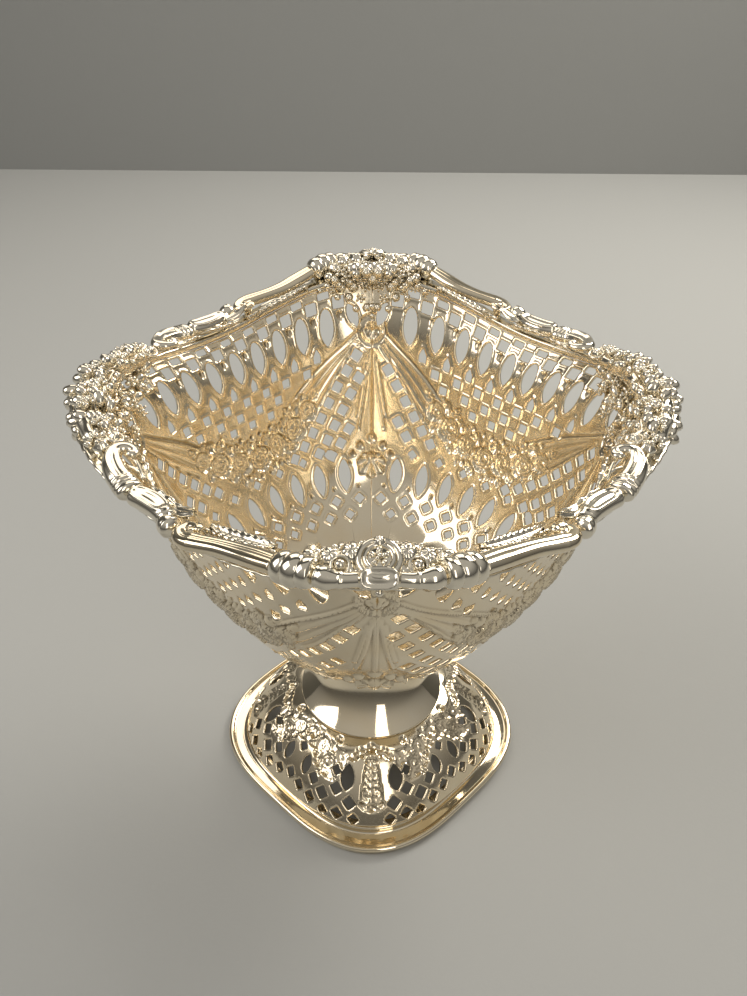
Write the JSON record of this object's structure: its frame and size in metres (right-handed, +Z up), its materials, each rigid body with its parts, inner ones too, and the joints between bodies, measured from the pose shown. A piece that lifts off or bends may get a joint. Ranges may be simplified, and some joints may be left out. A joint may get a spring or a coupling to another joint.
{
  "type": "pierced basket",
  "caption": "Soft-square pierced silver bonbon basket with a cast scroll and flower border on a spreading pierced foot.",
  "frame": {"origin": "centre of the foot's resting ring, on the table, under the bowl's axis", "axes": "+Z up along the bowl's axis; the four corners of bowl and foot lie on the X and Y axes, the higher pair on Y"},
  "size_m": [0.1536, 0.1538, 0.1382],
  "materials": {
    "pierced_silver": "polished, chased",
    "polished_silver": "mirror polished",
    "cast_silver": "polished casting"
  },
  "bodies": {
    "root": {"bowl": "pierced_silver", "rim_band": "cast_silver", "foot_neck": "polished_silver", "foot_dome": "pierced_silver", "foot_flange": "polished_silver", "border_collar_near_right": "cast_silver", "border_rod_near_right": "cast_silver", "border_leaf_near_right": "cast_silver", "border_spoon_near_right": "cast_silver", "border_scroll_near_right": "cast_silver", "border_collar_near_left": "cast_silver", "border_rod_near_left": "cast_silver", "border_leaf_near_left": "cast_silver", "border_spoon_near_left": "cast_silver", "border_scroll_near_left": "cast_silver", "border_collar_far_right": "cast_silver", "border_rod_far_right": "cast_silver", "border_leaf_far_right": "cast_silver", "border_spoon_far_right": "cast_silver", "border_scroll_far_right": "cast_silver", "border_collar_far_left": "cast_silver", "border_rod_far_left": "cast_silver", "border_leaf_far_left": "cast_silver", "border_spoon_far_left": "cast_silver", "border_scroll_far_left": "cast_silver", "border_spray_near": "cast_silver", "border_spray_far": "cast_silver", "border_spray_left": "cast_silver", "border_spray_right": "cast_silver"}
  },
  "joints": []
}
